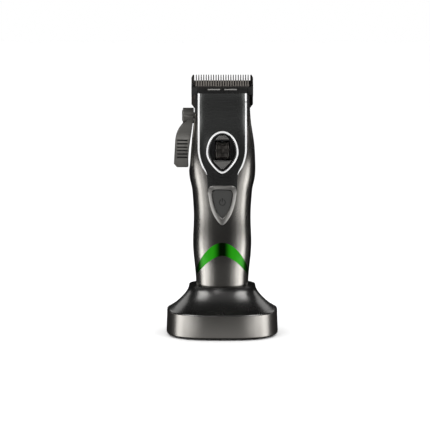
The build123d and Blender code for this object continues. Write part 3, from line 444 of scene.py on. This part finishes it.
# The knurl's top faces are a light grey, a painted highlight; their sides share the dish's black gloss.
knurl_top_highlight = surface_material(
    "knurl_top_highlight", sprayed, (0.42, 0.41, 0.39), 0.1, 0.35, 0.0, Flake=0.1, Wear=0.0
)
KNURL_PITCH, KNURL_HEIGHT, KNURL_REACH, KNURL_TOP = 1.4, 0.42, 0.42, 0.55
KNURL_LIFT, WHEEL_SLOT, DISH_MARGIN = 0.02, (132.4, 147.7), (3.3, 3.1)
KNURL_FACES = 5
dish_front = front_of("window_dish")
points, faces = [], []
for row in range(-30, 31):
    for column in range(-20, 21):
        x = (column + 0.5 * (row % 2)) * KNURL_PITCH
        z = RING_MIDDLE + row * KNURL_PITCH / 2
        share = (z - RING_MIDDLE) / (RING_TALL - DISH_MARGIN[1])
        if WHEEL_SLOT[0] < z < WHEEL_SLOT[1] or abs(share) >= 1 or abs(x) > egg_width(share, -DISH_MARGIN[0]):
            continue
        low = dish_front(x * MM, z * MM) + KNURL_LIFT * MM
        high, reach = low - KNURL_HEIGHT * MM, KNURL_REACH * KNURL_PITCH * MM
        start = len(points)
        for dx, dz in ((reach, 0), (0, reach), (-reach, 0), (0, -reach)):
            points.append((x * MM + dx, low, z * MM + dz))
            points.append((x * MM + KNURL_TOP * dx, high, z * MM + KNURL_TOP * dz))
        for i in range(4):
            a, b = start + 2 * i, start + 2 * ((i + 1) % 4)
            faces.append((a, b, b + 1, a + 1))
        faces.append(tuple(start + 2 * i + 1 for i in range(4)))
knurl = new_piece("dish_knurl", points, faces, knurl_top_highlight, "handpiece", "black_gloss")
knurl.data.materials.append(black_gloss)
# Top faces take the painted highlight grey, the sides the black gloss.
for face in knurl.data.polygons:
    face.material_index = 0 if face.index % KNURL_FACES == KNURL_FACES - 1 else 1
knurl.data.shade_flat()

WHEEL_AXIS, WHEEL_RADIUS, WHEEL_HALF = (-14.9, 139.4), 6.9, 5.0
WAIST_DEPTH, RIM_DROP, RIM_START = 0.75, 0.9, 4.3
GROOVE_DEPTH, GROOVE_STEPS, GROOVE_HALF_WIDTH, GROOVE_END = 0.30, 12, 1.5, 4.4
points, faces = [], []
around, along = 144, 24
for i in range(around):
    turn = 2 * math.pi * i / around
    off_groove = abs((i + GROOVE_STEPS // 2) % GROOVE_STEPS - GROOVE_STEPS // 2)
    groove = GROOVE_DEPTH * max(0.0, 1 - off_groove / GROOVE_HALF_WIDTH)
    for k in range(along + 1):
        x = WHEEL_HALF * math.sin(math.pi * (k / along - 0.5))
        waist = WAIST_DEPTH * math.cos(0.5 * math.pi * x / WHEEL_HALF) ** 2
        rim = RIM_DROP * max(0.0, (abs(x) - RIM_START) / (WHEEL_HALF - RIM_START)) ** 2
        r = WHEEL_RADIUS - waist - rim - groove * (abs(x) < GROOVE_END)
        y, z = WHEEL_AXIS[0] + r * math.sin(turn), WHEEL_AXIS[1] + r * math.cos(turn)
        points.append((x * MM, y * MM, z * MM))
for i in range(around):
    for k in range(along):
        a, b = i * (along + 1) + k, (i + 1) % around * (along + 1) + k
        faces.append((a, a + 1, b + 1, b))
faces.append(tuple(i * (along + 1) for i in range(around)))
faces.append(tuple(i * (along + 1) + along for i in reversed(range(around))))
new_piece("thumb_drum", points, faces, wheel_gloss, "thumb_wheel", "black_gloss", "speed_wheel")
dress("wheel_axle", screw_steel)
dress("wheel_sensor", black_gloss)

# ---- Power button and its bezel ----------------------------------------------------------
# The button is a satin grey moulding with a black power mark printed on it. A lacquered
# bezel surrounds it, highest beside the button and sloping down to the handle.

# The bezel's edges take a much lighter colour: partly wear, partly a painted highlight.
bezel_lacquer = surface_material(
    "bezel_lacquer", sprayed, (0.46, 0.45, 0.43), 0.9, 0.32, 0.05,
    Flake=0.12, Wear=0.2, Worn_Colour=(0.7, 0.7, 0.7)
)
button_satin = surface_material(
    "button_satin", moulded, (0.040, 0.040, 0.038), 0.0, 0.42, 0.2, Grain=1600.0, Dust=0.0
)
dress("power_button", button_satin)


SHIELD_POINTS = 144


def shield(half, top, tip):
    """The button's outline: flat top, rounded shoulders, sides that curve to a rounded tip."""
    shape = [(0.4, 1.0), (0.7, 0.995), (0.93, 0.945), (1.0, 0.84), (0.96, 0.71), (0.895, 0.58)]
    shape += [(0.81, 0.455), (0.70, 0.335), (0.56, 0.225), (0.38, 0.125), (0.19, 0.04)]
    side = [(x * half, tip + z * (top - tip)) for x, z in shape]
    other = [(-x, z) for x, z in reversed(side)]
    return smooth_loop([(0, top), *side, (0, tip), *other], SHIELD_POINTS)


SLOPED = [(0.0, -0.3), (0.04, 0.12), (0.12, 0.3), (0.3, 0.52), (0.5, 0.72), (0.7, 0.9), (0.82, 0.98)]
SLOPED += [(0.88, 0.98), (0.93, 0.85), (0.96, 0.5), (1.0, -0.8)]
BEZEL_OUTSIDE, BEZEL_INSIDE, BEZEL_RISE = (10.8, 113.9, 84.0), (7.6, 110.8, 89.6), 1.1
bead(
    "bezel_moulding", shield(*BEZEL_OUTSIDE), shield(*BEZEL_INSIDE), front_of("button_bezel"),
    SLOPED, BEZEL_RISE, bezel_lacquer, "bezel_metal", "button_bezel"
)

mark_black = surface_material("mark_black", moulded, (0.003, 0.003, 0.003), 0.0, 0.5, 0.0, Dust=0.0)
MARK_MIDDLE, MARK_RADIUS, MARK_GAP = 101.2, 2.2, 26
STROKE_HALF, MARK_LIFT, MARK_THICK = 0.42, 0.19, 0.06
BAR_FOOT, BAR_STEP = 0.4, 0.26
button_front = front_of("power_button")
turns = [math.radians(MARK_GAP + (360 - 2 * MARK_GAP) * i / 40) for i in range(41)]
strokes = [[(MARK_RADIUS * math.sin(a), MARK_MIDDLE + MARK_RADIUS * math.cos(a)) for a in turns]]
strokes.append([(0.0, MARK_MIDDLE + BAR_FOOT + BAR_STEP * i) for i in range(11)])
points, faces = [], []
for stroke in strokes:
    for i, (x, z) in enumerate(stroke):
        x0, z0 = stroke[max(0, i - 1)]
        x1, z1 = stroke[min(len(stroke) - 1, i + 1)]
        along = Vector((x1 - x0, z1 - z0)).normalized()
        y = button_front(x * MM, z * MM) - MARK_LIFT * MM
        for side in (-STROKE_HALF, STROKE_HALF):
            points.append(((x - along.y * side) * MM, y, (z + along.x * side) * MM))
        if i:
            n = len(points)
            faces.append((n - 4, n - 3, n - 1, n - 2))
mark = new_piece("power_mark", points, faces, mark_black, "button", "button_grey")
mark.modifiers.new("thickness", "SOLIDIFY").thickness = MARK_THICK * MM

# ---- Light band --------------------------------------------------------------------------
# A crescent of clear plastic across the handle, coated green behind, with three small lamps behind it.
# Its green glow is a painted sheen: dark at the middle, brightest beside it, fading to the ends.

green_coat = surface_material(
    "green_coat", sprayed, (0.02, 0.17, 0.01), 1.0, 0.25, 0.02, Flake=0.1, Wear=0.0, coat=0.3
)
SHEEN_GREEN = (0.016, 0.27, 0.006, 1)
SHEEN_STARTS, SHEEN_FULL, SHEEN_FADES, SHEEN_ENDS = 0.0015, 0.0075, 0.0090, 0.0185


def band_painted_sheen_group():
    """Painted sheen on the band, given as green glow: none at the middle, most beside it, fading to the ends.
    """
    group, given, result = new_group("band_painted_sheen", [("Colour", "Color", SHEEN_GREEN)], [("Painted Sheen", "Color")])
    place = add(group, "TexCoord")
    split = add(group, "SeparateXYZ")
    group.links.new(place.outputs["Object"], split.inputs[0])
    off_centre = math_node(group, "ABSOLUTE", split.outputs["X"], 0.0)
    rising = stretch_range(group, off_centre, SHEEN_STARTS, SHEEN_FULL, interpolation_type="SMOOTHSTEP")
    fading = stretch_range(group, off_centre, SHEEN_ENDS, SHEEN_FADES, interpolation_type="SMOOTHSTEP")
    amount = math_node(group, "MULTIPLY", rising, fading)
    group.links.new(scaled_colour(group, given.outputs["Colour"], amount), result.inputs["Painted Sheen"])
    return group


# The band's emission is a painted sheen standing in for reflected light, not light from its lamps.
band_sheen = add(green_coat.node_tree, "Group", node_tree=band_painted_sheen_group())
band_shader = green_coat.node_tree.nodes["Principled BSDF"]
green_coat.node_tree.links.new(band_sheen.outputs["Painted Sheen"], band_shader.inputs["Emission Color"])
band_shader.inputs["Emission Strength"].default_value = 1.0
dress("light_band", green_coat)

# ---- Cutting head ------------------------------------------------------------------------
# A black chassis holds the blades: a fixed comb of dark ground steel behind, and in front a
# shorter cutter that slides from side to side under a sloped black guard.

head_black = surface_material("head_black", moulded, (0.012, 0.012, 0.012), 0.0, 0.30, 0.15, Grain=1500.0)
comb_steel = surface_material(
    "comb_steel", machined, (0.10, 0.092, 0.085), 1.0, 0.34, 0.1, Lines=0.3, Stain=0.2
)
cutter_steel = surface_material(
    "cutter_steel", machined, (0.30, 0.275, 0.25), 0.55, 0.34, 0.1, Lines=0.3, Stain=0.15
)
spring_steel = surface_material("spring_steel", machined, (0.36, 0.355, 0.34), 0.4, 0.35, 0.1)
natural_nylon = surface_material("natural_nylon", moulded, (0.70, 0.68, 0.60), 0.0, 0.45, 0.1, Grain=700.0)
dark_nylon = surface_material("dark_nylon", moulded, (0.05, 0.05, 0.05), 0.0, 0.45, 0.1, Grain=700.0)
dress("head_frame", head_black)
dress("blade_guard", head_black)
dress("tension_spring", spring_steel)
dress("stationary_blade", comb_steel)
dress("cutter_blade", cutter_steel)
dress("cam_follower", natural_nylon)
dress("blade_carriage", dark_nylon)
dress("blade_screws", screw_steel)

# ---- Taper lever -------------------------------------------------------------------------
# A zinc lever in satin dark grey on the left side, with a slotted screw in its hub and six
# grooves across the thumb pad, each holding a black bar of painted shade for the shade deep in it.

# The lever's edges take a colour twice as light: partly wear, partly a painted highlight.
lever_satin = surface_material(
    "lever_satin", sprayed, (0.27, 0.262, 0.245), 0.83, 0.30, 0.03,
    Flake=0.2, Wear=0.5, Worn_Colour=(0.55, 0.54, 0.5)
)
LEVER_BEVEL = 0.5 * MM
dress("taper_lever", lever_satin, LEVER_BEVEL)
dress("lever_shaft", screw_steel)
dress("lever_screw", screw_steel)

# Black bars laid in the lever's grooves: painted shade where the deep grooves fall dark.
groove_shade_black = surface_material("groove_shade_black", moulded, (0.008, 0.008, 0.008), 0.0, 0.45, 0.2, Dust=0.05)
LEVER_GROOVES, LEVER_GROOVE_TOP, LEVER_GROOVE_PITCH, LEVER_GROOVE_ENDS = 6, 146.4, 2.55, (-33.45, -25.65)
GROOVE_SHADE_FLOOR, GROOVE_SHADE_CROWN, GROOVE_SHADE_HALF, GROOVE_SHADE_STEPS = -9.65, 0.42, 0.53, 8
points, faces = [], []
for i in range(LEVER_GROOVES):
    middle, start, row = LEVER_GROOVE_TOP - LEVER_GROOVE_PITCH * i, len(points), GROOVE_SHADE_STEPS + 1
    for x in LEVER_GROOVE_ENDS:
        for k in range(row):
            turn = math.pi * k / GROOVE_SHADE_STEPS
            y, z = GROOVE_SHADE_FLOOR - GROOVE_SHADE_CROWN * math.sin(turn), middle + GROOVE_SHADE_HALF * math.cos(turn)
            points.append((x * MM, y * MM, z * MM))
    faces += [(start + k, start + k + 1, start + row + k + 1, start + row + k) for k in range(GROOVE_SHADE_STEPS)]
    faces += [tuple(start + k for k in reversed(range(row))), tuple(start + row + k for k in range(row))]
new_piece("painted_groove_shade", points, faces, groove_shade_black, "lever", "lever_metal")

# ---- Motor and drive ---------------------------------------------------------------------
# A small brushed motor in a drawn steel can turns the nylon cam that moves the cutter. Two
# screws hold it under the chassis.

can_steel = surface_material("can_steel", machined, (0.58, 0.58, 0.58), 1.0, 0.34, 0.1, Stain=0.1)
ferrite = surface_material("ferrite", moulded, (0.05, 0.05, 0.052), 0.0, 0.6, 0.3)
for node in ("motor_can", "rotor_core", "rotor_shaft"):
    dress(node, can_steel)
dress("motor_magnets", ferrite)
dress("motor_cap", natural_nylon)
dress("eccentric", natural_nylon)
dress("motor_screws", screw_steel)

# ---- Cell and board ----------------------------------------------------------------------
# A wrapped lithium cell lies in a dark nylon cradle against the back shell. The board in
# front of it carries the charger, the button's switch and the band's lamps.

cell_film = surface_material("cell_film", moulded, (0.05, 0.16, 0.42), 0.0, 0.22, 0.05, Dust=0.02)
chip_black = surface_material("chip_black", moulded, (0.02, 0.02, 0.02), 0.0, 0.5, 0.2)
lamp_clear = surface_material("lamp_clear", moulded, (0.85, 0.85, 0.75), 0.0, 0.2, 0.05, Dust=0.0)
dress("battery_cell", cell_film)
dress("battery_holder", dark_nylon)
dress("circuit_board", board_mask)
dress("board_parts", chip_black)
dress("power_switch", chip_black)
dress("band_leds", lamp_clear)

# ---- Floor and lights --------------------------------------------------------------------
# A plain pale floor. On each hand stand three upright panels, weaker towards the front, and
# one behind. Softboxes hang above, dim cards lie low, and a narrow card faces the lever's hub.

FLOOR_HALF, FLOOR_Z = 4.0, -0.0002
floor_paint = surface_material("floor_paint", moulded, (0.93, 0.93, 0.93), 0.0, 0.9, 0.0, Dust=0.0)
floor_mesh = bpy.data.meshes.new("floor")
floor_corners = [(-FLOOR_HALF, -FLOOR_HALF, FLOOR_Z), (FLOOR_HALF, -FLOOR_HALF, FLOOR_Z)]
floor_corners += [(FLOOR_HALF, FLOOR_HALF, FLOOR_Z), (-FLOOR_HALF, FLOOR_HALF, FLOOR_Z)]
floor_mesh.from_pydata(floor_corners, [], [(0, 1, 2, 3)])
floor_mesh.materials.append(floor_paint)
floor = bpy.data.objects.new("floor", floor_mesh)
bpy.context.scene.collection.objects.link(floor)
# The panels reach below the floor, so it stays out of reflections and doesn't shade them.
floor.visible_glossy = False
floor.visible_shadow = False


def area_light(name, width, height, radiance, place):
    """A rectangular light that shines evenly over its face, and downwards until it is turned."""
    lamp = bpy.data.lights.new(name, "AREA")
    lamp.shape = "RECTANGLE"
    lamp.size, lamp.size_y = width, height
    lamp.energy = radiance * math.pi * width * height
    holder = bpy.data.objects.new(name, lamp)
    bpy.context.scene.collection.objects.link(holder)
    holder.location = place
    return holder


def panel(name, azimuth, distance, width, bottom, top, radiance):
    """An upright softbox facing the object: azimuth 0 is in front of it, 90 on its right."""
    turn = math.radians(azimuth)
    place = (math.sin(turn) * distance, -math.cos(turn) * distance, (bottom + top) / 2)
    area_light(name, width, top - bottom, radiance, place).rotation_euler = (math.pi / 2, 0, turn)


OBJECT_MIDDLE = Vector((0, 0, 0.08))


def aimed_light(name, azimuth, elevation, distance, width, depth, radiance):
    """A softbox hung at an angle around the object and aimed at its middle."""
    turn, lift = math.radians(azimuth), math.radians(elevation)
    away = Vector((math.sin(turn) * math.cos(lift), -math.cos(turn) * math.cos(lift), math.sin(lift)))
    holder = area_light(name, width, depth, radiance, OBJECT_MIDDLE + away * distance)
    holder.rotation_euler = (-away).to_track_quat("-Z", "Y").to_euler()


CARD_Z = -0.001


def floor_card(name, low_x, high_x, near_y, far_y, radiance):
    """A softly shining card lying level with the floor and facing up."""
    place = ((low_x + high_x) / 2, (near_y + far_y) / 2, CARD_Z)
    area_light(name, high_x - low_x, far_y - near_y, radiance, place).rotation_euler = (math.pi, 0, 0)


for side, word in ((-1, "left"), (1, "right")):
    panel(word + "_panel", side * 74, 0.34, 0.145, -0.20, 0.055, 1.35)
    panel(word + "_inner_panel", side * 51, 0.34, 0.13, -0.20, 0.055, 0.60)
    panel(word + "_faint_panel", side * 32, 0.34, 0.10, -0.40, 0.05, 0.12)
    panel(word + "_back_panel", side * 140, 0.9, 0.5, 0.25, 0.85, 0.7)
    aimed_light(word + "_upper_softbox", side * 55, 40, 0.8, 0.45, 0.35, 2.2)
floor_card("left_floor_card", -0.28, -0.046, -0.116, -0.07, 0.9)
floor_card("right_floor_card", 0.046, 0.28, -0.116, -0.07, 0.9)
floor_card("front_floor_card", -0.046, 0.046, -0.116, -0.04, 0.2)
aimed_light("overhead", 0, 43, 1.3, 0.9, 0.65, 0.13)
panel("hub_card", -8.8, 0.223, 0.02, 0.125, 0.21, 2.0)

# The backdrop is white to the camera, soft white on matt surfaces and almost dark in gloss.
world = bpy.data.worlds.new("studio")
bpy.context.scene.world = world
world.use_nodes = True
sky = world.node_tree
sky.nodes.clear()
path = add(sky, "LightPath")
WHITE = (1, 1, 1, 1)
backdrop = add(sky, "Background", Color=WHITE, Strength=1.0)
soft_fill = add(sky, "Background", Color=WHITE, Strength=1.2)
dark_room = add(sky, "Background", Color=WHITE, Strength=0.012)
seen = add(sky, "MixShader")
shiny = add(sky, "MixShader")
shown = add(sky, "OutputWorld")
sky.links.new(path.outputs["Is Glossy Ray"], shiny.inputs[0])
sky.links.new(soft_fill.outputs[0], shiny.inputs[1])
sky.links.new(dark_room.outputs[0], shiny.inputs[2])
sky.links.new(path.outputs["Is Camera Ray"], seen.inputs[0])
sky.links.new(shiny.outputs[0], seen.inputs[1])
sky.links.new(backdrop.outputs[0], seen.inputs[2])
sky.links.new(seen.outputs[0], shown.inputs["Surface"])

# ---- Camera ------------------------------------------------------------------------------
# A long lens a little above the object, looking slightly down at it from the front.

CAMERA_AT = Vector((-5.4, -1500.0, 300.0)) * MM
LOOKS_AT = Vector((-5.4, 0.0, 89.2)) * MM
view = bpy.data.cameras.new("camera")
view.sensor_width = 36.0
view.lens = 169.33
view.clip_start, view.clip_end = 0.05, 20.0
camera = bpy.data.objects.new("camera", view)
bpy.context.scene.collection.objects.link(camera)
camera.location = CAMERA_AT
camera.rotation_euler = (LOOKS_AT - CAMERA_AT).to_track_quat("-Z", "Y").to_euler()
bpy.context.scene.camera = camera
bpy.context.scene.view_settings.view_transform = "Standard"
